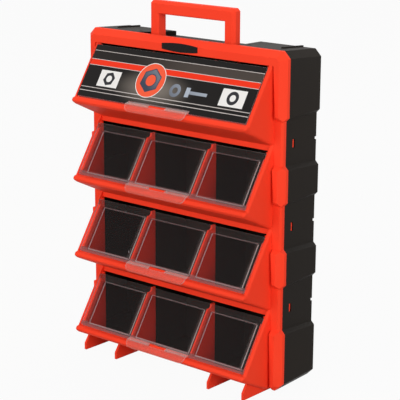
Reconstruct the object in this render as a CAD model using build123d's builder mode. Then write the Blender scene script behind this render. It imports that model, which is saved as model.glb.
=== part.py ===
from math import cos, radians, sin
import os

from build123d import *

# Parts organizer with four rows of three compartments behind clear tilting doors.
# X runs to the right, Y to the back and Z up. The origin is on the table, in the middle of the
# width and of the whole depth. All sizes are in millimetres, angles in degrees.

# Case
case_width = 280.0
case_height = 366.0
shell_depth = 52.5
foot_height = 4.2
corner_cut = 7.5
wall = 2.2

# Rows and columns
tier_count = 4
rail_height = 5.8
level_rise = 1.4
divider_offset = 44.0
divider_wall = 2.0
divider_root = 1.1
divider_drop = 2.0

# Side bumps, as drops below the top of the case
band_step = 3.75
first_bump_end_drop = 72.3
next_bump_top_drop = 119.5
bump_draft = 2.3

# Front flange and its raised border, as reaches in front of the parting plane
strip_reach = 6.0
strip_chamfer = 2.2
border_reach = 10.5
border_end_chamfer = 4.2
border_root = 1.5
rim_depth = 2.3
seat_gap = 0.3
groove_top_width = 1.6
groove_end_width = 4.6

# Doors
door_length = 63.7
door_wall = 1.8
door_lean = 32.6
door_top_reach = 12.1
door_top_drop = 16.8
opening_top_drop = 15.2
door_corner_radius = 2.5
rib_wall = 1.4
rib_depth = 3.0
rib_top_gap = 7.0
rib_end_gap = 4.2
rib_side_gap = 7.3
rib_divider_gap = 3.4
side_gap = 0.6
rest_gap = 0.3

# Pull tab and catch
tab_width = 86.0
tab_wall = 1.6
tab_root_rise = 3.5
tab_overhang = 9.3
tab_stand_off = 2.7
tab_corner_radius = 7.0
catch_width = 24.0
catch_height = 3.2
catch_proud = 0.8
catch_gap = 0.5

# Hinge pins, moulded on the doors
pin_radius = 1.5
pin_length = 2.2
pin_clearance = 0.05
pin_end_gap = 0.3
knuckle_radius = 2.0
knuckle_length = 4.0
pin_along = 2.4
pin_inset = 2.0
swing_clearance = 0.5

# Hoppers
strip_width = 11.75
hopper_side = 3.6
border_wall = 2.1
stop_width = 3.0
stop_end_gap = 2.6
ledge_gap = 1.0
nose_gap = 3.3
nose_length = 3.8
nose_proud = 2.2
lip_drop = 1.4
cavity_end_gap = 2.3
lip_end_inset = 1.6
lip_radius = 1.8
lip_corner_radius = 5.0
hopper_edge_radius = 3.0

# Snap arms of the frame and their slots in the shell
arm_wall = 1.6
arm_width = 8.6
arm_gap = 0.3
arm_depth = 14.3
hook_depth = 2.6
hook_lead = 0.9
hook_sink = 0.3
slot_gap = 0.4
side_arm_drop = 97.1
top_arm_width = 5.0

# Top of the shell
top_fall = 3.0
recess_drop = 7.7
recess_front_half = 72.0
recess_back_half = 60.0
guide_inset = 24.0
guide_wall = 2.0
guide_height = 1.5
guide_start = 16.0

# Handle
handle_width = 120.0
handle_leg = 13.5
handle_thickness = 13.0
handle_setback = 7.3
grip_height = 14.0
handle_rise = 35.5
handle_chamfer = 3.0
handle_inner_chamfer = 1.0
handle_travel = 28.0
sleeve_gap = 0.3
sleeve_wall = 1.8
leg_hold = 18.0
lug_proud = 1.4
lug_height = 5.0
lug_width = 6.0
lug_gap = 0.3

# Foot fins
fin_wall = 2.8
fin_offset = 68.7
outer_fin_inset = 23.0
fin_reach = 42.2
fin_front_height = 7.7
fin_slant = 6.5
fin_slant_rise = 9.1
fin_back_gap = 4.0

# Back wall: notches in the rear edges, and keyholes for hanging on a wall
notch_drop = 97.4
notch_height = 3.2
notch_depth = 2.4
keyhole_offset = 84.0
keyhole_drop = 38.0
keyhole_head_radius = 4.5
keyhole_slot_radius = 2.2
keyhole_slot_length = 9.0

# Badge and label
badge_width = 50.0
badge_height = 9.4
badge_end_height = 6.0
badge_thickness = 0.8
badge_drop = 9.2
label_thickness = 0.25
label_margin = 0.6

# Worked out from the sizes above
lean_sin = sin(radians(door_lean))
lean_cos = cos(radians(door_lean))
tab_root = door_length - tab_root_rise
tab_reach = door_length + tab_overhang
tab_out = tab_stand_off + tab_wall
tab_tip_reach = door_top_reach + tab_reach * lean_sin + tab_out * lean_cos
parting_y = (tab_tip_reach - shell_depth) / 2
tier_pitch = (case_height - opening_top_drop + rail_height + level_rise) / tier_count
underside_drop = tier_pitch + opening_top_drop - rail_height
half_width = case_width / 2
narrow_half = half_width - band_step
inner_half = narrow_half - wall
case_bottom = foot_height
case_top = foot_height + case_height
cell_depth = shell_depth - wall
border_chamfer = border_reach - strip_reach + strip_chamfer
hopper_half = narrow_half - strip_width
recess_half = hopper_half - hopper_side
door_half = recess_half - side_gap
cavity_half = hopper_half - wall
stop_half = recess_half - stop_width
stop_inset = door_wall + rest_gap
cavity_inset = stop_inset + border_wall
strip_setback = door_top_reach - strip_reach
flange_setback = door_top_reach - rim_depth
opening_rise = door_top_drop - opening_top_drop
catch_start = door_length + ledge_gap - catch_height
nose_along = door_length + nose_gap
nose_end_along = nose_along + nose_length
lip_end_along = nose_end_along + lip_drop
fin_places = (fin_offset, half_width - outer_fin_inset)
handle_half = handle_width / 2
leg_inner = handle_half - handle_leg
handle_top = case_top + handle_rise
handle_end = handle_setback + handle_thickness
recess_floor = case_top - recess_drop
leg_end = recess_floor - leg_hold
sleeve_end = leg_end - handle_travel - lug_gap
block_inner = recess_front_half + wall
block_outer = half_width - corner_cut - wall
block_ceiling = case_top - top_fall - wall
top_arm_offset = block_inner + arm_gap + top_arm_width / 2
swing_radius = (pin_along ** 2 + pin_inset ** 2) ** 0.5 + swing_clearance
divider_places = {"left": -divider_offset, "right": divider_offset}
through = 1.0


def door_top(tier):
    return case_top - door_top_drop - tier * tier_pitch


def front_plane(reach):
    # Faces the front, at a reach in front of the parting plane: local X right, local Y up
    return Plane(origin=(0, parting_y - reach, 0), x_dir=(1, 0, 0), z_dir=(0, -1, 0))


def section_plane(x):
    # Cross-section of the case, from the parting plane at table height: local X back, local Y up
    return Plane(origin=(x, parting_y, 0), x_dir=(0, 1, 0), z_dir=(1, 0, 0))


def tier_plane(tier, x):
    # Cross-section of one row, from its door's top front edge: local X back, local Y up
    origin = (x, parting_y - door_top_reach, door_top(tier))
    return Plane(origin=origin, x_dir=(0, 1, 0), z_dir=(1, 0, 0))


def level_plane(z):
    # Seen from above, from the parting plane: local X right, local Y back
    return Plane(origin=(0, parting_y, z), x_dir=(1, 0, 0), z_dir=(0, 0, 1))


def door_plane(tier, out):
    # Parallel to a door, moved out of its front face: local X right, local Y up the slope
    corner = Vector(0, parting_y - door_top_reach, door_top(tier))
    origin = corner + Vector(0, -lean_cos, lean_sin) * out
    return Plane(origin=origin, x_dir=(1, 0, 0), z_dir=(0, -lean_cos, lean_sin))


def pin_plane(tier, x):
    # Square to a door's hinge axis, with its origin on the axis
    back, up = slope_point(pin_along, -pin_inset)
    origin = (x, parting_y - door_top_reach + back, door_top(tier) + up)
    return Plane(origin=origin, x_dir=(0, 1, 0), z_dir=(1, 0, 0))


def slope_point(along, out):
    # A tier plane's point, from the distance down the door and out of its front face
    return (-along * lean_sin - out * lean_cos, -along * lean_cos + out * lean_sin)


def slope_at_height(height, out):
    # Where a plane parallel to the door reaches a height in a tier plane
    return slope_point((out * lean_sin - height) / lean_cos, out)


def slope_at_setback(setback, out):
    # Where a plane parallel to the door reaches a setback in a tier plane
    return slope_point((-setback - out * lean_cos) / lean_sin, out)


def underside(setback, lift):
    # Height of a hopper's underside in a tier plane, at a setback, raised by a lift
    return underside_foot + (setback - strip_setback) * underside_fall + lift


def underside_setback(height):
    return strip_setback + (height - underside_foot) / underside_fall


lip_back, lip_up = slope_point(lip_end_along, -lip_end_inset)
underside_foot = door_top_drop - underside_drop
underside_fall = (underside_foot - lip_up) / (strip_setback - lip_back)


def floor_height(tier):
    # Top of the shell's shelf under a row, in line with the hopper's floor
    return door_top(tier) + underside(door_top_reach, wall)


def bump_bottom(tier):
    return case_top - first_bump_end_drop - tier * tier_pitch


def bump_top(tier):
    return case_top - next_bump_top_drop - (tier - 1) * tier_pitch


def case_outline(draft, fall):
    # Outline of the case seen from the front, with its bumps and cut corners
    bottom = case_bottom + draft
    top = case_top - fall
    right = [(half_width - corner_cut, bottom), (half_width, bottom + corner_cut)]
    for tier in range(tier_count - 1, 0, -1):
        right.append((half_width, bump_top(tier) - band_step - draft))
        right.append((narrow_half, bump_top(tier) - draft))
        right.append((narrow_half, bump_bottom(tier - 1) + draft))
        right.append((half_width, bump_bottom(tier - 1) + band_step + draft))
    right.append((half_width, top - corner_cut))
    right.append((half_width - corner_cut, top))
    return right + mirrored(right)


def mirrored(points):
    return [(-x, z) for x, z in reversed(points)]


def prism(plane, points, amount, mode=Mode.ADD):
    # A closed outline drawn on a plane and pushed out along the plane's normal
    with BuildSketch(plane) as profile:
        with BuildLine():
            Polyline(*points, close=True)
        make_face()
    extrude(profile.sketch, amount=amount, dir=plane.z_dir, mode=mode)


def badge_block(reach, amount):
    # Blunt ends, and edges that bow out above and below
    middle = case_top - badge_drop
    half = badge_width / 2
    low, high = middle - badge_end_height / 2, middle + badge_end_height / 2
    with BuildSketch(front_plane(reach)) as badge:
        with BuildLine():
            ThreePointArc((-half, low), (0, middle - badge_height / 2), (half, low))
            Line((half, low), (half, high))
            ThreePointArc((half, high), (0, middle + badge_height / 2), (-half, high))
            Line((-half, high), (-half, low))
        make_face()
    extrude(badge.sketch, amount=amount)


def block(x_range, depth_range, z_range, mode=Mode.ADD):
    # A box given by its ranges, with depths measured back from the parting plane
    corners = [
        (x_range[0], z_range[0]),
        (x_range[1], z_range[0]),
        (x_range[1], z_range[1]),
        (x_range[0], z_range[1]),
    ]
    prism(front_plane(-depth_range[1]), corners, depth_range[1] - depth_range[0], mode)


def both_sides(x_range):
    low, high = x_range
    return [(low, high), (-high, -low)]


def rod(plane, radius, length, mode=Mode.ADD):
    with BuildSketch(plane) as profile:
        Circle(radius)
    extrude(profile.sketch, amount=length, dir=plane.z_dir, mode=mode)


# Raised border of the flange: the top rail with the first pair of bumps, then single bumps
def top_border():
    rail_edge = case_top - opening_top_drop
    right = [
        (hopper_half + groove_top_width, rail_edge),
        (hopper_half + groove_end_width, bump_bottom(0)),
        (narrow_half, bump_bottom(0)),
        (half_width, bump_bottom(0) + band_step),
        (half_width, case_top - corner_cut),
        (half_width - corner_cut, case_top),
    ]
    with BuildPart() as border:
        prism(front_plane(strip_reach - strip_chamfer - border_root), right + mirrored(right),
              border_chamfer + border_root)
        front = border.faces().sort_by(Axis.Y)[0]
        outer = [e for e in front.edges() if e.center().Z > case_top - through
                 or abs(e.center().X) > half_width - corner_cut
                 and e.center().Z > bump_bottom(0) + band_step]
        chamfer(outer, border_chamfer)
        ends = [e for e in border.faces().sort_by(Axis.Y)[0].edges()
                if e.center().Z < bump_bottom(0) + band_step]
        chamfer(ends, border_end_chamfer)
    return border.part


def side_bump(tier):
    # The right-hand bump beside one of the lower rows
    lowest = tier == tier_count - 1
    top = bump_top(tier)
    bottom = case_bottom if lowest else bump_bottom(tier)
    bottom_cut = corner_cut if lowest else band_step
    bottom_x = half_width - bottom_cut
    outline = [
        (hopper_half + groove_end_width, bottom),
        (bottom_x, bottom),
        (half_width, bottom + bottom_cut),
        (half_width, top - band_step),
        (narrow_half, top),
        (hopper_half + groove_top_width, top),
    ]
    with BuildPart() as bump:
        prism(front_plane(strip_reach - strip_chamfer - border_root), outline,
              border_chamfer + border_root)
        front = bump.faces().sort_by(Axis.Y)[0]
        chamfer(front.edges().sort_by(Axis.X)[-1], border_chamfer)
        front = bump.faces().sort_by(Axis.Y)[0]
        chamfer([e for e in front.edges() if abs(e.tangent_at(0.5).X) > 0.5], border_end_chamfer)
    return bump.part


# One hopper, drawn for the top row: it stands in four places on the flange
def cavity_outline():
    back = door_top_reach + through
    floor_front = slope_point(door_length + cavity_end_gap, -cavity_inset)
    return [
        (back, opening_rise),
        slope_at_height(opening_rise, -cavity_inset),
        floor_front,
        (floor_front[0], underside(floor_front[0], wall)),
        (back, underside(back, wall)),
    ]


with BuildPart() as mouth:
    prism(tier_plane(0, -cavity_half), cavity_outline(), 2 * cavity_half)

with BuildPart() as hopper:
    body = [
        (flange_setback, underside(flange_setback, 0)),
        (flange_setback, slope_at_setback(strip_setback, 0)[1]),
        slope_at_setback(strip_setback, 0),
        slope_point(door_length + ledge_gap, 0),
        slope_point(nose_along, nose_proud),
        slope_point(nose_end_along, nose_proud),
        slope_point(lip_end_along, -lip_end_inset),
    ]
    prism(tier_plane(0, -hopper_half), body, 2 * hopper_half)
    lip_edges = hopper.edges().filter_by(Axis.X).sort_by(Axis.Y)[:3]
    fillet(lip_edges, lip_radius)
    sides = hopper.faces().filter_by(Axis.X)
    rounded = [e for e in sides.edges() if e.center().Y < parting_y - strip_reach - through]
    fillet(rounded, hopper_edge_radius)

    # The lip's ends are rounded off, seen square to the door
    with BuildSketch(door_plane(0, tab_out)) as lip_front:
        with Locations((0, (tier_pitch - lip_end_along) / 2)):
            Rectangle(2 * hopper_half, tier_pitch + lip_end_along)
        fillet(lip_front.vertices().group_by(Axis.Y)[0], lip_corner_radius)
    extrude(lip_front.sketch, amount=-2 * tier_pitch, mode=Mode.INTERSECT)

    # The wedge in front of the strip above is left open between the side walls
    wedge = [
        slope_at_height(opening_rise - through, tab_out),
        (strip_setback, opening_rise - through),
        (strip_setback, slope_at_setback(strip_setback, 0)[1]),
    ]
    prism(tier_plane(0, -recess_half), wedge, 2 * recess_half, Mode.SUBTRACT)

    # Compartments, opening with its stop rim, and the recess that the door lies in
    add(mouth.part, mode=Mode.SUBTRACT)
    opening = [
        slope_at_height(opening_rise, -cavity_inset - through),
        slope_at_height(opening_rise, -stop_inset + through),
        slope_point(door_length - stop_end_gap, -stop_inset + through),
        slope_point(door_length - stop_end_gap, -cavity_inset - through),
    ]
    prism(tier_plane(0, -stop_half), opening, 2 * stop_half, Mode.SUBTRACT)
    recess = [
        slope_at_height(opening_rise, -stop_inset),
        slope_at_height(opening_rise, tab_out),
        slope_point(door_length + ledge_gap, tab_out),
        slope_point(door_length + ledge_gap, -stop_inset),
    ]
    prism(tier_plane(0, -recess_half), recess, 2 * recess_half, Mode.SUBTRACT)

    # Room for the hinge knuckles to swing, then the holes for the pins
    rod(pin_plane(0, -recess_half), swing_radius, 2 * recess_half, Mode.SUBTRACT)
    hole_depth = pin_length - side_gap + pin_end_gap
    for side in (-recess_half - hole_depth, recess_half):
        rod(pin_plane(0, side), pin_radius + pin_clearance, hole_depth, Mode.SUBTRACT)

    # Catch nub on the ledge
    catch = [
        slope_point(catch_start, -door_wall),
        slope_point(catch_start, catch_proud / 2),
        slope_point(catch_start + catch_proud, catch_proud),
        slope_point(nose_along - catch_proud, catch_proud),
        slope_point(nose_along - catch_proud, -door_wall),
    ]
    prism(tier_plane(0, -catch_width / 2), catch, catch_width)


# Front frame
outer_borders = [top_border()] + [side_bump(tier) for tier in range(1, tier_count)]
tier_places = [(0, 0, -tier * tier_pitch) for tier in range(tier_count)]

with BuildPart() as front_frame:
    prism(front_plane(0), case_outline(0, 0), strip_reach)
    chamfer(front_frame.faces().sort_by(Axis.Y)[0].edges(), strip_chamfer)
    add(outer_borders[0])
    for border in outer_borders[1:]:
        add(border)
        add(mirror(border, about=Plane.YZ, mode=Mode.PRIVATE))
    with BuildSketch(front_plane(0)) as hollow:
        with BuildLine():
            Polyline(*case_outline(0, 0), close=True)
        make_face()
        offset(amount=-wall, kind=Kind.INTERSECTION)
    extrude(hollow.sketch, amount=rim_depth, dir=(0, -1, 0), mode=Mode.SUBTRACT)
    with Locations(*tier_places):
        add(mouth.part, mode=Mode.SUBTRACT)
    with Locations(*tier_places):
        add(hopper.part)

    # Under the lowest hopper nothing reaches below the case, and its floor ends level
    below_case = [(-half_width, half_width), (-tab_tip_reach, 0), (0, case_bottom)]
    block(*below_case, Mode.SUBTRACT)
    level_start = underside_setback(case_bottom - door_top(tier_count - 1)) - door_top_reach
    level_floor = (case_bottom, case_bottom + wall)
    block((-cavity_half, cavity_half), (level_start, 0), level_floor)

    # Front part of the foot fins
    fin_front = -fin_reach
    fin_top_back = fin_front + fin_slant
    front_fin = [
        (0, 0),
        (fin_front, 0),
        (fin_front, fin_front_height),
        (fin_top_back, fin_front_height + fin_slant_rise),
        (fin_top_back + wall, fin_front_height + fin_slant_rise),
        (-strip_reach, case_bottom + wall / 2),
        (0, case_bottom + wall / 2),
    ]
    for place in fin_places:
        for side in (-place, place):
            prism(section_plane(side - fin_wall / 2), front_fin, fin_wall)

    # Pad that carries the badge
    badge_block(strip_reach, border_reach - strip_reach)


# The front part of the dividers, the door seats and the snap arms are moulded with the frame, but
# each is a simple solid of its own
def frame_divider(tier, middle):
    foot = slope_point(door_length + stop_end_gap, -stop_inset)
    outline = [
        (flange_setback, -divider_drop),
        slope_at_height(-divider_drop, -stop_inset),
        foot,
        (foot[0], underside(foot[0], divider_root)),
        (flange_setback, underside(flange_setback, divider_root)),
    ]
    with BuildPart() as divider:
        prism(tier_plane(tier, middle - divider_wall / 2), outline, divider_wall)
        rod(pin_plane(tier, middle - divider_wall), swing_radius, 2 * divider_wall, Mode.SUBTRACT)
        block(*below_case, Mode.SUBTRACT)
        add(front_frame.part, mode=Mode.SUBTRACT)
    return divider.part


def seat_rooms():
    # The room of the ledge along each side of a door, with the rim beside it
    seat_end = door_length + cavity_end_gap
    outline = [
        slope_at_height(opening_rise, -cavity_inset),
        slope_at_height(opening_rise, 0),
        slope_point(seat_end, 0),
        slope_point(seat_end, -cavity_inset),
    ]
    for tier in range(tier_count):
        with BuildPart() as seat:
            prism(tier_plane(tier, stop_half), outline, cavity_half - stop_half)
        yield f"door_seat_right_{tier + 1}", seat.part
        yield f"door_seat_left_{tier + 1}", mirror(seat.part, about=Plane.YZ)


def side_arm(tier):
    # Along the shell's right-hand wall
    arm_out = inner_half - arm_gap
    outline = [
        (arm_out - arm_wall, -rim_depth),
        (arm_out, -rim_depth),
        (arm_out, arm_depth - hook_depth),
        (narrow_half - hook_sink, arm_depth - hook_depth),
        (narrow_half - hook_sink, arm_depth - hook_lead),
        (arm_out, arm_depth),
        (arm_out - arm_wall, arm_depth),
    ]
    height = case_top - side_arm_drop - tier * tier_pitch - arm_width / 2
    with BuildPart() as arm:
        prism(level_plane(height), outline, arm_width)
    return arm.part


def top_arm():
    # Under the raised block on the right
    hook_top = case_top - top_fall * arm_depth / shell_depth - hook_sink
    arm_up = block_ceiling - arm_gap
    outline = [
        (-rim_depth, arm_up - arm_wall),
        (-rim_depth, arm_up),
        (arm_depth - hook_depth, arm_up),
        (arm_depth - hook_depth, hook_top),
        (arm_depth - hook_lead, hook_top),
        (arm_depth, arm_up),
        (arm_depth, arm_up - arm_wall),
    ]
    with BuildPart() as arm:
        prism(section_plane(top_arm_offset - top_arm_width / 2), outline, top_arm_width)
    return arm.part


# Rear shell
grid_reach = rim_depth - seat_gap


def cell_outline(tier):
    # Cross-section of a row's compartments: the lowest floor follows the case's sloping bottom
    floor_front = floor_height(tier)
    floor_back = floor_height(tier)
    ceiling = recess_floor - wall
    if tier > 0:
        ceiling = floor_height(tier - 1) - wall
    if tier == tier_count - 1:
        floor_front = case_bottom + wall
        floor_back = floor_front + bump_draft
    return [
        (-grid_reach, floor_front),
        (0, floor_front),
        (cell_depth, floor_back),
        (cell_depth, ceiling),
        (-grid_reach, ceiling),
    ]


with BuildPart() as compartments:
    for tier in range(tier_count):
        outer = inner_half
        if tier == tier_count - 1:
            outer = block_outer
        columns = [(-outer, -divider_offset - divider_wall / 2)]
        columns.append((-divider_offset + divider_wall / 2, divider_offset - divider_wall / 2))
        columns.append((divider_offset + divider_wall / 2, outer))
        for left, right in columns:
            prism(section_plane(left), cell_outline(tier), right - left)

    # The raised blocks on top and the side bumps are hollow too
    for span in both_sides((block_inner, block_outer)):
        block(span, (-through, cell_depth), (recess_floor - wall * 2, block_ceiling))
    bump_margin = band_step + bump_draft + wall / 2
    for tier in range(tier_count):
        low = bump_bottom(tier) + bump_margin
        high = bump_top(tier) - bump_margin
        if tier == 0:
            high = case_top - top_fall - corner_cut - wall
        if tier == tier_count - 1:
            low = case_bottom + corner_cut + bump_margin
        for span in both_sides((block_outer, half_width - wall)):
            block(span, (-through, cell_depth), (low, high))

sleeve_front = handle_setback - sleeve_gap
sleeve_back = handle_end + sleeve_gap
sleeve_inner = leg_inner - sleeve_gap
sleeve_outer = handle_half + sleeve_gap
lug_center = (handle_setback + handle_end) / 2

with BuildPart() as shell_openings:
    # Channels for the handle's legs, with a slot for the lug that stops each leg
    lug_room = lug_width / 2 + lug_gap
    lug_top = leg_end + lug_height + lug_gap
    for span in both_sides((sleeve_inner, sleeve_outer)):
        heights = (sleeve_end - through, recess_floor + through)
        block(span, (sleeve_front, sleeve_back), heights)
    for span in both_sides((sleeve_outer - through, sleeve_outer + sleeve_wall + through)):
        depths = (lug_center - lug_room, lug_center + lug_room)
        block(span, depths, (sleeve_end - through, lug_top))

    # Slots for the frame's snap arms, with room beside the shelves for the arms
    slot_depths = (arm_depth - hook_depth - slot_gap, arm_depth + slot_gap)
    for tier in range(tier_count - 1):
        middle = case_top - side_arm_drop - tier * tier_pitch
        heights = (middle - arm_width / 2 - slot_gap, middle + arm_width / 2 + slot_gap)
        for span in both_sides((inner_half - arm_gap - arm_wall - slot_gap, inner_half)):
            block(span, (-rim_depth - through, slot_depths[1]), heights)
        for span in both_sides((inner_half - through, narrow_half + through)):
            block(span, slot_depths, heights)
    slot_half = top_arm_width / 2 + slot_gap
    for span in both_sides((top_arm_offset - slot_half, top_arm_offset + slot_half)):
        block(span, slot_depths, (block_ceiling - through, case_top + through))

    # Notches in the rear edges
    for tier in range(tier_count - 1):
        top = case_top - notch_drop - tier * tier_pitch + notch_height / 2
        for span in both_sides((narrow_half - notch_depth, narrow_half + through)):
            depths = (shell_depth - notch_depth, shell_depth + through)
            block(span, depths, (top - notch_height, top))

    # Keyholes in the back wall
    keyhole_z = case_top - keyhole_drop
    for side in (-keyhole_offset, keyhole_offset):
        slot_middle = keyhole_z + keyhole_slot_length / 2
        with BuildSketch(front_plane(-shell_depth - through)) as keyhole:
            with Locations((side, keyhole_z)):
                Circle(keyhole_head_radius)
            with Locations((side, slot_middle)):
                Rectangle(2 * keyhole_slot_radius, keyhole_slot_length)
            with Locations((side, keyhole_z + keyhole_slot_length)):
                Circle(keyhole_slot_radius)
        extrude(keyhole.sketch, amount=wall + 2 * through, dir=(0, -1, 0))

with BuildPart() as rear_shell:
    with BuildSketch(front_plane(0)) as shell_front:
        with BuildLine():
            Polyline(*case_outline(0, 0), close=True)
        make_face()
    with BuildSketch(front_plane(-shell_depth)) as shell_back:
        with BuildLine():
            Polyline(*case_outline(bump_draft, top_fall), close=True)
        make_face()
    loft(ruled=True)

    # Recess in the top that takes the grip, and the compartments
    recess = [
        (-recess_front_half, -through),
        (recess_front_half, -through),
        (recess_back_half, shell_depth + through),
        (-recess_back_half, shell_depth + through),
    ]
    prism(level_plane(recess_floor), recess, recess_drop + through, Mode.SUBTRACT)
    add(compartments.part, mode=Mode.SUBTRACT)

    # Shelves and dividers run a little way into the frame
    grid_half = inner_half - seat_gap
    for tier in range(tier_count - 1):
        shelf_top = floor_height(tier)
        block((-grid_half, grid_half), (-grid_reach, through), (shelf_top - wall, shelf_top))
    divider_low = case_bottom + wall + seat_gap
    for side in (-divider_offset, divider_offset):
        span = (side - divider_wall / 2, side + divider_wall / 2)
        block(span, (-grid_reach, through), (divider_low, recess_floor - wall))

    # Sleeves, guide ribs that keep a second case in line on top, and rear foot fins
    for span in both_sides((divider_offset + divider_wall / 4, sleeve_outer + sleeve_wall)):
        depths = (sleeve_front - sleeve_wall, sleeve_back + sleeve_wall)
        block(span, depths, (sleeve_end, recess_floor - wall / 2))
    slope = top_fall / shell_depth
    guide = [
        (guide_start, case_top - guide_start * slope - wall / 2),
        (shell_depth, case_top - top_fall - wall / 2),
        (shell_depth, case_top - top_fall + guide_height),
        (guide_start + guide_height, case_top - guide_start * slope + guide_height),
        (guide_start, case_top - guide_start * slope),
    ]
    for side in (guide_inset - half_width, half_width - guide_inset):
        prism(section_plane(side - guide_wall / 2), guide, guide_wall)
    fin_end = shell_depth - fin_back_gap
    rear_fin = [
        (seat_gap, 0),
        (fin_end - foot_height, 0),
        (fin_end, foot_height),
        (fin_end, case_bottom + bump_draft + wall / 2),
        (seat_gap, case_bottom + wall / 2),
    ]
    for place in fin_places:
        for side in (-place, place):
            prism(section_plane(side - fin_wall / 2), rear_fin, fin_wall)
    add(shell_openings.part, mode=Mode.SUBTRACT)


# Shelves, dividers and sleeves are moulded with the shell, but each is a simple solid of its own
def grid_rooms():
    # The room that each of them takes up in the shell
    for tier in range(tier_count):
        if tier < tier_count - 1:
            with BuildPart() as shelf:
                heights = (floor_height(tier) - wall, floor_height(tier))
                block((-inner_half, inner_half), (-grid_reach, cell_depth), heights)
            yield f"shelf_{tier + 1}", shelf.part
        for name, middle in divider_places.items():
            with BuildPart() as divider:
                prism(section_plane(middle - divider_wall / 2), cell_outline(tier), divider_wall)
            yield f"shell_divider_{name}_{tier + 1}", divider.part
    right, left = both_sides((divider_offset + divider_wall / 2, sleeve_outer + sleeve_wall))
    for name, span in {"left": left, "right": right}.items():
        with BuildPart() as sleeve:
            depths = (sleeve_front - sleeve_wall, sleeve_back + sleeve_wall)
            block(span, depths, (sleeve_end, recess_floor - wall))
        yield f"handle_sleeve_{name}", sleeve.part


def split_off(moulding, rooms):
    # The moulding without the rooms, and what it has in each of them
    rest = moulding
    split = {}
    for name, room in rooms:
        split[name] = moulding & room
        rest -= room
    return rest, split


# Carry handle
with BuildPart() as carry_handle:
    grip_bottom = handle_top - grip_height
    outline = [
        (leg_inner, leg_end),
        (handle_half, leg_end),
        (handle_half, handle_top - handle_chamfer),
        (handle_half - handle_chamfer, handle_top),
        (-handle_half + handle_chamfer, handle_top),
        (-handle_half, handle_top - handle_chamfer),
        (-handle_half, leg_end),
        (-leg_inner, leg_end),
        (-leg_inner, grip_bottom),
        (leg_inner, grip_bottom),
    ]
    prism(front_plane(-handle_end), outline, handle_thickness)
    flats = carry_handle.faces().filter_by(Axis.Y).edges()
    outside = [e for e in flats if abs(e.center().X) > handle_half - handle_chamfer
               or e.center().Z > handle_top - handle_chamfer]
    chamfer(outside, handle_chamfer)
    flats = carry_handle.faces().filter_by(Axis.Y).edges()
    inside = [e for e in flats if abs(e.center().X) < leg_inner + through
              and leg_end + through < e.center().Z < grip_bottom + through]
    chamfer(inside, handle_inner_chamfer)
    for left, right in both_sides((handle_half - through, handle_half + lug_proud)):
        depths = (lug_center - lug_width / 2, lug_center + lug_width / 2)
        block((left, right), depths, (leg_end, leg_end + lug_height))


# Clear doors
def rib_windows():
    side_from = divider_offset + divider_wall / 2 + rib_divider_gap
    side_to = door_half - rib_side_gap
    middle = divider_offset - divider_wall / 2 - rib_divider_gap
    return [(-side_to, -side_from), (-middle, middle), (side_from, side_to)]


def make_door():
    with BuildPart() as door:
        with BuildSketch(door_plane(0, 0)) as plate:
            with Locations((0, -door_length / 2)):
                Rectangle(2 * door_half, door_length)
            fillet(plate.vertices().group_by(Axis.Y)[0], door_corner_radius)
        extrude(plate.sketch, amount=-door_wall)

        # Rib frames behind the three windows
        rib_height = door_length - rib_top_gap - rib_end_gap
        with BuildSketch(door_plane(0, -door_wall)) as ribs:
            for left, right in rib_windows():
                with Locations(((left + right) / 2, -rib_top_gap - rib_height / 2)):
                    Rectangle(right - left, rib_height)
                    Rectangle(right - left - 2 * rib_wall, rib_height - 2 * rib_wall,
                              mode=Mode.SUBTRACT)
        extrude(ribs.sketch, amount=-rib_depth)

        # Pull tab, stepped out over the lip
        out_bend = tab_root + tab_out
        in_bend = out_bend + tab_wall * (2 ** 0.5 - 1)
        lower_root = in_bend - tab_stand_off
        ramp = [
            slope_point(tab_root, 0),
            slope_point(out_bend, tab_out),
            slope_point(out_bend + tab_wall, tab_out),
            slope_point(out_bend + tab_wall, tab_stand_off),
            slope_point(in_bend, tab_stand_off),
            slope_point(lower_root, 0),
            slope_point(lower_root - door_wall / 2, -door_wall / 2),
            slope_point(tab_root, -door_wall / 2),
        ]
        prism(tier_plane(0, -tab_width / 2), ramp, tab_width)
        with BuildSketch(door_plane(0, tab_stand_off)) as tab:
            with Locations((0, -(out_bend + tab_reach) / 2)):
                Rectangle(tab_width, tab_reach - out_bend)
            fillet(tab.vertices().group_by(Axis.Y)[0], tab_corner_radius)
        extrude(tab.sketch, amount=tab_wall)

        # Window that clears the catch
        window = [
            slope_point(catch_start - catch_gap, -door_wall - through),
            slope_point(catch_start - catch_gap, tab_out + through),
            slope_point(door_length + ledge_gap, tab_out + through),
            slope_point(door_length + ledge_gap, -door_wall - through),
        ]
        window_half = catch_width / 2 + catch_gap
        prism(tier_plane(0, -window_half), window, 2 * window_half, Mode.SUBTRACT)

        # Knuckles and hinge pins
        for side in (-door_half, door_half - knuckle_length):
            rod(pin_plane(0, side), knuckle_radius, knuckle_length)
        for side in (-door_half - pin_length, door_half):
            rod(pin_plane(0, side), pin_radius, pin_length)
    return door.part


# Badge and label
with BuildPart() as badge_plate:
    badge_block(border_reach, badge_thickness)

with BuildPart() as door_label:
    with BuildSketch(door_plane(0, 0)) as sheet:
        label_length = door_length - 2 * label_margin
        with Locations((0, -door_length / 2)):
            Rectangle(2 * door_half - 2 * label_margin, label_length)
        with Locations((0, -(tab_root - label_margin + door_length) / 2)):
            Rectangle(tab_width + 2 * label_margin, door_length - tab_root + label_margin,
                      mode=Mode.SUBTRACT)
    extrude(sheet.sketch, amount=label_thickness)


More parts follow.
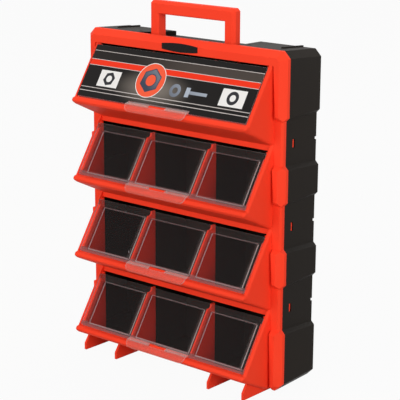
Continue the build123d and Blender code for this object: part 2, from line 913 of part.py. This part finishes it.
# One file for each piece
frame_walls, door_seats = split_off(front_frame.part, seat_rooms())
shell_walls, grid = split_off(rear_shell.part, grid_rooms())
pieces = {
    "front_frame": frame_walls,
    "rear_shell": shell_walls,
    "carry_handle": carry_handle.part,
    "badge_plate": badge_plate.part,
    "door_label": door_label.part,
}
pieces.update(door_seats)
pieces.update(grid)
arms = {"top": top_arm()}
for tier in range(tier_count - 1):
    arms[str(tier + 1)] = side_arm(tier)
for place, arm in arms.items():
    pieces[f"snap_arm_right_{place}"] = arm
    pieces[f"snap_arm_left_{place}"] = mirror(arm, about=Plane.YZ)
top_door = make_door()
for tier in range(tier_count):
    pieces[f"flap_door_{tier + 1}"] = Pos(0, 0, -tier * tier_pitch) * top_door
    for name, middle in divider_places.items():
        pieces[f"frame_divider_{name}_{tier + 1}"] = frame_divider(tier, middle)

os.makedirs("parts", exist_ok=True)
for name, piece in pieces.items():
    piece.label = name
    export_step(piece, f"parts/{name}.step")
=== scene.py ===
import bpy
import math
from mathutils import Matrix, Vector

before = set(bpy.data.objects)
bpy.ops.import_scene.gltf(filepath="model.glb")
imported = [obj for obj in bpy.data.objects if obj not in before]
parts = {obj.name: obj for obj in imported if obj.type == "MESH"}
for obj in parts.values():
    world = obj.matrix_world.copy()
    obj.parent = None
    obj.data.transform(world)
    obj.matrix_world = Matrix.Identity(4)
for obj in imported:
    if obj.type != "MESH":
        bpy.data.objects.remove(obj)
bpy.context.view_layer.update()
mm = 0.001
noiseSpan = (0.3, 0.7)  # most of a noise's values lie between these

# The upper front corner of the top door, and its slope: prints and clear zones are measured from it
door = {
    "lean": math.radians(32.6),
    "cornerY": -10.8236,
    "cornerZ": 353.4,
    "pitch": 89.5,
}
leanSin = math.sin(door["lean"])
leanCos = math.cos(door["lean"])


class Wire:
    # an output socket, so that shader maths can be written as sums

    def __init__(self, owner, socket):
        self.owner = owner
        self.socket = socket

    def sum(self, operation, *others):
        return self.owner.add("ShaderNodeMath", {"operation": operation}, [self, *others])

    def __add__(self, other):
        return self.sum("ADD", other)

    def __radd__(self, other):
        return self.sum("ADD", other)

    def __sub__(self, other):
        return self.sum("SUBTRACT", other)

    def __rsub__(self, other):
        return self.owner.add("ShaderNodeMath", {"operation": "SUBTRACT"}, [other, self])

    def __mul__(self, other):
        return self.sum("MULTIPLY", other)

    def __rmul__(self, other):
        return self.sum("MULTIPLY", other)

    def __truediv__(self, other):
        return self.sum("DIVIDE", other)

    def __gt__(self, other):
        return self.sum("GREATER_THAN", other)

    def __lt__(self, other):
        return self.sum("LESS_THAN", other)

    def __abs__(self):
        return self.sum("ABSOLUTE")


class Finish:
    # the nodes of a material or of the world, under construction

    def __init__(self, owner):
        owner.use_nodes = True
        self.owner = owner
        self.tree = owner.node_tree
        self.tree.nodes.clear()
        self.count = 0

    def add(self, kind, settings=None, inputs=None, out=0):
        node = self.tree.nodes.new(kind)
        self.count += 1
        node.location = (-180 * (self.count % 12), -260 * (self.count // 12))
        for key, value in (settings or {}).items():
            setattr(node, key, value)
        pairs = inputs.items() if isinstance(inputs, dict) else enumerate(inputs or [])
        for key, value in pairs:
            if isinstance(value, Wire):
                self.tree.links.new(value.socket, node.inputs[key])
            else:
                node.inputs[key].default_value = value
        return Wire(self, node.outputs[out]) if node.outputs else node

    def place(self, kind="Object"):
        return self.add("ShaderNodeTexCoord", out=kind)

    def split(self, vector):
        node = self.add("ShaderNodeSeparateXYZ", inputs=[vector]).socket.node
        return [Wire(self, socket) for socket in node.outputs]

    def mix(self, factor, low, high):
        # colours, by a factor from 0 to 1
        settings = {"data_type": "RGBA"}
        return self.add("ShaderNodeMix", settings, {0: factor, 6: low, 7: high}, out=2)

    def pick(self, mask, low, high):
        # a number, by a mask that is 0 or 1
        return self.add("ShaderNodeMix", {"data_type": "FLOAT"}, {0: mask, 2: low, 3: high})

    def blend(self, factor, low, high):
        # two shaders
        return self.add("ShaderNodeMixShader", inputs=[factor, low, high])

    def noise(self, where, scale, detail=2.0):
        values = {"Vector": where, "Scale": scale, "Detail": detail}
        return self.add("ShaderNodeTexNoise", inputs=values)

    def span(self, value, low, high, toLow, toHigh):
        return self.add("ShaderNodeMapRange", {"clamp": True}, [value, low, high, toLow, toHigh])

    def softEdges(self, radius):
        # rounds the look of moulded edges that the solid leaves sharp
        return self.add("ShaderNodeBevel", {"samples": 6}, {"Radius": radius})

    def plastic(self, **values):
        named = {key.replace("_", " "): value for key, value in values.items()}
        return self.add("ShaderNodeBsdfPrincipled", inputs=named)

    def close(self, shader, kind="ShaderNodeOutputMaterial"):
        self.add(kind, inputs={"Surface": shader})
        return self.owner


def newFinish(name):
    return Finish(bpy.data.materials.new(name))


def colour(red, green, blue):
    # from the 0 to 255 values of a picture to the shader's own scale
    steps = [v / 255 for v in (red, green, blue)]
    linear = [v / 12.92 if v < 0.04045 else ((v + 0.055) / 1.055) ** 2.4 for v in steps]
    return (*linear, 1)


def wear(name, material):
    node = parts[name]
    node.data.materials.clear()
    node.data.materials.append(material)


# Camera, with its place in millimetres
view = {
    "place": (1003.63, -1154.37, 589.99),
    "right": (0.76081, 0.64896, 0.00540),
    "up": (-0.16746, 0.18827, 0.96773),
    "lens": 129.3,
    "sensor": 36,
    "farEnd": 50,
}


def makeCamera():
    data = bpy.data.cameras.new("camera")
    data.lens = view["lens"]
    data.sensor_width = view["sensor"]
    data.clip_end = view["farEnd"]
    camera = bpy.data.objects.new("camera", data)
    right = Vector(view["right"]).normalized()
    up = Vector(view["up"]).normalized()
    back = right.cross(up)
    turn = Matrix((right, up, back)).transposed().to_4x4()
    camera.matrix_world = Matrix.Translation(Vector(view["place"]) * mm) @ turn
    bpy.context.scene.collection.objects.link(camera)
    bpy.context.scene.camera = camera


# Studio, in metres; a lamp has a name, a place, a size, a power and a tint
studio = {
    "skyLevel": 0.42,
    "lamps": [
        ("frontLamp", (-0.3, -2.8, 1.0), 1.3, 38, (1, 1, 1)),
        ("rightLamp", (2.6, -1.0, 0.9), 1.2, 34, (1, 1, 1)),
        ("topLamp", (-0.4, 0.9, 2.4), 1.2, 28, (1, 0.92, 0.82)),
        ("backLamp", (0.5, 3.2, 0.5), 1.4, 26, (1, 1, 1)),
    ],
    "lampsAim": (0, 0, 0.19),
    "floorSize": 14,
    "floorTint": (0.30, 0.30, 0.30, 1),
    "floorGlow": 0.95,
}


def lookedAt(finish):
    # 1 for what the camera, a reflection or a clear piece shows, 0 for what lights the object
    rays = ("Is Camera Ray", "Is Glossy Ray", "Is Transmission Ray")
    direct, glossy, through = [finish.add("ShaderNodeLightPath", out=ray) for ray in rays]
    return direct + glossy + through


def makeSky():
    world = bpy.data.worlds.new("studio")
    bpy.context.scene.world = world
    finish = Finish(world)
    level = finish.span(lookedAt(finish), 0, 1, studio["skyLevel"], 1)
    values = {"Color": (1, 1, 1, 1), "Strength": level}
    sky = finish.add("ShaderNodeBackground", inputs=values)
    finish.close(sky, "ShaderNodeOutputWorld")
    bpy.context.scene.view_settings.view_transform = "Standard"


def makeLamps():
    for name, place, size, power, tint in studio["lamps"]:
        data = bpy.data.lights.new(name, "AREA")
        data.size = size
        data.energy = power
        data.color = tint
        lamp = bpy.data.objects.new(name, data)
        lamp.location = place
        aim = Vector(studio["lampsAim"]) - Vector(place)
        lamp.rotation_euler = aim.to_track_quat("-Z", "Y").to_euler()
        bpy.context.scene.collection.objects.link(lamp)


def makeFloor():
    half = studio["floorSize"] / 2
    mesh = bpy.data.meshes.new("floor")
    corners = [(-half, -half, 0), (half, -half, 0), (half, half, 0), (-half, half, 0)]
    mesh.from_pydata(corners, [], [(0, 1, 2, 3)])
    floor = bpy.data.objects.new("floor", mesh)
    bpy.context.scene.collection.objects.link(floor)
    finish = newFinish("floorPaper")
    glow = finish.add("ShaderNodeEmission", inputs={"Strength": 1.0})
    paper = finish.add("ShaderNodeBsdfDiffuse", inputs={"Color": studio["floorTint"]})
    both = finish.blend(lookedAt(finish) * studio["floorGlow"], paper, glow)
    floor.data.materials.append(finish.close(both))


# Red and black mouldings, with grain and edges in metres
redMoulding = {
    "name": "redMoulding",
    "face": (0.97, 0.058, 0.022, 1),
    "deep": (0.94, 0.050, 0.018, 1),
    "roughness": (0.50, 0.60),
    "gloss": 0.08,
    "cloud": 9,
    "grain": 1700,
    "grainHeight": 0.00006,
    "edge": 0.0007,
}
blackMoulding = {
    "name": "blackMoulding",
    "face": (0.0130, 0.0094, 0.0068, 1),
    "deep": (0.0100, 0.0072, 0.0052, 1),
    "roughness": (0.46, 0.60),
    "gloss": 0.07,
    "cloud": 9,
    "grain": 1300,
    "grainHeight": 0.00010,
    "edge": 0.0007,
}


def makeMoulding(look):
    finish = newFinish(look["name"])
    where = finish.place()
    cloud = finish.noise(where, look["cloud"], 4.0)
    grain = finish.noise(where, look["grain"], 1.0)
    tint = finish.mix(finish.span(cloud, 0.35, 0.65, 0, 1), look["deep"], look["face"])
    rough = finish.span(cloud * 0.6 + grain * 0.4, *noiseSpan, *look["roughness"])
    values = {
        "Height": grain,
        "Distance": look["grainHeight"],
        "Strength": 0.5,
        "Normal": finish.softEdges(look["edge"]),
    }
    skin = finish.add("ShaderNodeBump", inputs=values)
    gloss = look["gloss"]
    shell = finish.plastic(Base_Color=tint, Roughness=rough, Normal=skin, Specular_IOR_Level=gloss)
    return finish.close(shell)


# Clear doors, in millimetres across, down the slope and out of the front face
clearDoor = {
    "innerSpan": 38.2,
    "outerSpan": (49.8, 111.6),
    "windowDown": (8.4, 58.1),
    "tabHalf": 43.5,
    "tabFrom": 60.4,
    "plateBack": -1.9,
    "ribBack": -4.6,
    "wallFrom": (0.9, 0.98),
    "smear": 40,
    "roughness": (0.05, 0.10),
    "ior": 1.5,
    "gloss": 0.4,
    "air": (0.97, 0.96, 0.96, 1),
    # painted shade: dims what is seen through the windows
    "shadedWindowAir": (0.79, 0.74, 0.76, 1),
    "veilAndHighlight": {
        "window": 0.019,
        "band": 0.028,
        "foot": 0.20,
        # painted highlight that brightens the tab
        "tab": 0.24,
        "ribWall": 0.09,
        # painted highlights on the plate edges and rib ends, weaker on the top rib ends
        "plateEdgeHighlight": 0.32,
        "ribEndHighlight": 0.62,
        "topRibEndHighlight": 0.22,
    },
    "tint": (0.48, 0.43, 0.41, 1),
    "footTint": (0.50, 0.26, 0.25, 1),
    # red tint of the painted highlight on the tab
    "tabSheenTint": (0.98, 0.20, 0.14, 1),
    # pale tint of the painted highlights on the plate edges and rib ends
    "edgeHighlightTint": (0.86, 0.76, 0.73, 1),
}


def doorPlaces(finish, row):
    # across the door, down its slope and out of its front face, in millimetres
    x, y, z = finish.split(finish.place())
    back = y / mm - door["cornerY"]
    up = z / mm - (door["cornerZ"] - row * door["pitch"])
    return x / mm, (back * leanSin + up * leanCos) * -1, up * leanSin - back * leanCos


def between(value, low, high):
    return (value > low) * (value < high)


def makeClear(row):
    look = clearDoor
    finish = newFinish(f"clearStyrene{row + 1}")
    across, down, out = doorPlaces(finish, row)
    side = abs(across)
    panes = (side < look["innerSpan"]) + between(side, *look["outerSpan"])
    top, bottom = look["windowDown"]
    window = panes * between(down, top, bottom)
    foot = down > bottom
    tab = (down > look["tabFrom"]) * (side < look["tabHalf"])

    # Faces square to the door's own are edges: of the plate, or the walls of a rib
    outward = (0, -leanCos, leanSin)
    dot = {"operation": "DOT_PRODUCT"}
    facing = finish.add("ShaderNodeVectorMath", dot, [finish.place("Normal"), outward], out="Value")
    wall = finish.span(abs(facing), *look["wallFrom"], 1, 0)
    ribWall = wall * (out < look["plateBack"])
    # masks for painted highlights on the plate edges and rib ends, weaker on the top rib ends
    plateEdgeHighlight = wall * (out > look["plateBack"])
    ribEndHighlight = (out < look["ribBack"]) * (1 - wall)
    topRibEndHighlight = ribEndHighlight * (down < top)

    # The veil is the share of milky plastic over plain see-through; on the plate edges, the rib
    # ends and the tab it is raised into a painted highlight, weaker on the top rib ends
    veilAndHighlightShares = look["veilAndHighlight"]
    veilAndHighlight = finish.pick(window, veilAndHighlightShares["band"], veilAndHighlightShares["window"])
    for mask, name in (
        (foot, "foot"),
        (tab, "tab"),
        (ribWall, "ribWall"),
        (plateEdgeHighlight, "plateEdgeHighlight"),
        (ribEndHighlight, "ribEndHighlight"),
        (topRibEndHighlight, "topRibEndHighlight"),
    ):
        veilAndHighlight = finish.pick(mask, veilAndHighlight, veilAndHighlightShares[name])
    tint = finish.mix(foot, look["tint"], look["footTint"])
    # the tab gets a red painted highlight
    tint = finish.mix(tab, tint, look["tabSheenTint"])
    tint = finish.mix(plateEdgeHighlight + ribEndHighlight, tint, look["edgeHighlightTint"])
    smear = finish.noise(finish.place(), look["smear"], 3.0)
    rough = finish.span(smear, *noiseSpan, *look["roughness"])
    body = finish.plastic(Base_Color=tint, Roughness=rough)

    # Windows and the strip below them let less light through than the rest: painted shade that
    # darkens the compartments seen through them
    clear = finish.add("ShaderNodeBsdfTransparent", inputs={"Color": look["air"]})
    shadeDimmedAir = finish.add("ShaderNodeBsdfTransparent", inputs={"Color": look["shadedWindowAir"]})
    air = finish.blend((window + foot * (1 - tab)) * (1 - wall), clear, shadeDimmedAir)
    inside = finish.add("ShaderNodeNewGeometry", out="Backfacing")
    gloss = finish.add("ShaderNodeFresnel", inputs={"IOR": look["ior"]}) * look["gloss"]
    amount = veilAndHighlight.sum("MAXIMUM", gloss * (1 - inside))
    return finish.close(finish.blend(amount, air, body))


# Printed sheet on the top door, in the door's millimetres; boxes are left, right, top, bottom
sheetPrint = {
    "thickness": 0.25,
    "roughness": 0.30,
    "gloss": 0.12,
    "backPaper": colour(208, 205, 200),
    "ground": colour(20, 17, 16),
    "glow": colour(122, 114, 106),
    "glowMiddle": (-18, 42),
    "glowReach": (62, 24),
    "upper": colour(70, 62, 57),
    "upperFade": (-60, 20, 0.15, 1),
    "stripe": colour(196, 188, 184),
    "stripes": ((6.9, 7.6), (51.0, 51.8), (55.4, 56.2)),
    "band": colour(236, 52, 24),
    "bandDown": (18, 24.4),
    "bandEdge": 0.7,
    "panel": colour(232, 230, 227),
    "panels": ((-98, -68, 29, 48.5), (76, 108, 29, 48.5)),
    "dark": colour(46, 46, 50),
    "smallNut": {"middle": (-83, 38.7), "half": 7.2, "hole": 3.9, "turn": 0.3},
    "smallWasher": {"middle": (92, 38.7), "rim": 7.6, "hole": 3.8},
    "disc": colour(240, 92, 60),
    "discMiddle": (-24, 33),
    "discRim": 19.5,
    "discEdge": 0.8,
    "steelDark": colour(58, 66, 82),
    "steelLight": colour(168, 176, 188),
    "sheen": (-60, 10),
    "nutEdge": {"middle": (-24, 33), "half": 12.5, "hole": 6.6, "turn": 0.15},
    "nut": {"middle": (-24, 33), "half": 11.5, "hole": 7.6, "turn": 0.15},
    "washer": {"middle": (14, 40), "rim": 7.5, "hole": 3.6},
    "screwShank": (34, 58, 38.2, 41.8),
    "screwHead": (28.5, 34, 34.5, 45.5),
}


def boxSpot(across, down, edges):
    return between(across, *edges[:2]) * between(down, *edges[2:])


def roundSpot(across, down, middle, radius):
    x, y = across - middle[0], down - middle[1]
    return (x * x + y * y) < radius * radius


def washerSpot(across, down, washer):
    middle = washer["middle"]
    hole = roundSpot(across, down, middle, washer["hole"])
    return roundSpot(across, down, middle, washer["rim"]) * (1 - hole)


def nutSpot(across, down, nut):
    # three strips crossed make the six sides
    middle = nut["middle"]
    x, y = across - middle[0], down - middle[1]
    spot = 1 - roundSpot(across, down, middle, nut["hole"])
    for step in range(3):
        angle = nut["turn"] + step * math.pi / 3
        spot = spot * (abs(x * math.cos(angle) + y * math.sin(angle)) < nut["half"])
    return spot


def makePrint():
    look = sheetPrint
    finish = newFinish("printedSheet")
    across, down, out = doorPlaces(finish, 0)

    # Ground with a glow, stripes and the red band
    x = (across - look["glowMiddle"][0]) / look["glowReach"][0]
    y = (down - look["glowMiddle"][1]) / look["glowReach"][1]
    glow = finish.span(x * x + y * y, 0.0, 1.0, 1, 0)
    ink = finish.mix(glow * glow, look["ground"], look["glow"])
    bandTop, bandEnd = look["bandDown"]
    upper = finish.span(across, *look["upperFade"]) * between(down, look["stripes"][0][1], bandTop)
    ink = finish.mix(upper, ink, look["upper"])
    for low, high in look["stripes"]:
        ink = finish.mix(between(down, low, high), ink, look["stripe"])
    edge = look["bandEdge"]
    ink = finish.mix(between(down, bandTop - edge, bandEnd + edge), ink, look["stripe"])
    ink = finish.mix(between(down, bandTop, bandEnd), ink, look["band"])

    # Pale panels at both ends, with a nut and a washer
    for edges in look["panels"]:
        ink = finish.mix(boxSpot(across, down, edges), ink, look["panel"])
    ink = finish.mix(nutSpot(across, down, look["smallNut"]), ink, look["dark"])
    ink = finish.mix(washerSpot(across, down, look["smallWasher"]), ink, look["dark"])

    # A red disc with a large nut, then a washer and a screw in steel
    middle, rim = look["discMiddle"], look["discRim"]
    ink = finish.mix(roundSpot(across, down, middle, rim + look["discEdge"]), ink, look["panel"])
    ink = finish.mix(roundSpot(across, down, middle, rim), ink, look["disc"])
    sheen = finish.span(across * 0.7 - down, *look["sheen"], 0, 1)
    steel = finish.mix(sheen, look["steelDark"], look["steelLight"])
    ink = finish.mix(nutSpot(across, down, look["nutEdge"]), ink, look["steelDark"])
    ink = finish.mix(nutSpot(across, down, look["nut"]), ink, steel)
    ink = finish.mix(washerSpot(across, down, look["washer"]), ink, steel)
    ink = finish.mix(boxSpot(across, down, look["screwShank"]), ink, steel)
    ink = finish.mix(boxSpot(across, down, look["screwHead"]), ink, look["steelLight"])

    # Only the front is printed
    ink = finish.mix(out < look["thickness"] / 2, ink, look["backPaper"])
    rough, gloss = look["roughness"], look["gloss"]
    paper = finish.plastic(Base_Color=ink, Roughness=rough, Specular_IOR_Level=gloss)
    return finish.close(paper)


# Badge plate, left bare
badgePlate = {
    "light": colour(22, 19, 18),
    "dark": colour(17, 15, 14),
    "cloud": 60,
    "roughness": (0.22, 0.34),
    "gloss": 0.12,
    "edge": 0.0004,
}


def makeBadge():
    look = badgePlate
    finish = newFinish("badgeLacquer")
    cloud = finish.noise(finish.place(), look["cloud"])
    plate = finish.plastic(
        Base_Color=finish.mix(cloud, look["light"], look["dark"]),
        Roughness=finish.span(cloud, *noiseSpan, *look["roughness"]),
        Normal=finish.softEdges(look["edge"]),
        Specular_IOR_Level=look["gloss"],
    )
    return finish.close(plate)


makeCamera()
makeSky()
makeLamps()
makeFloor()
print("camera, sky, lamps and floor are in place")

redPlastic = makeMoulding(redMoulding)
blackPlastic = makeMoulding(blackMoulding)
for name in parts:
    if name.startswith(("front", "frame", "door_seat", "snap", "carry")):
        wear(name, redPlastic)
    if name.startswith(("rear", "shelf", "shell", "handle_sleeve")):
        wear(name, blackPlastic)
print("mouldings and handle have their plastic")

wear("badge_plate", makeBadge())
wear("door_label", makePrint())
for row in range(4):
    wear(f"flap_door_{row + 1}", makeClear(row))
print("badge, printed sheet and clear doors are finished")
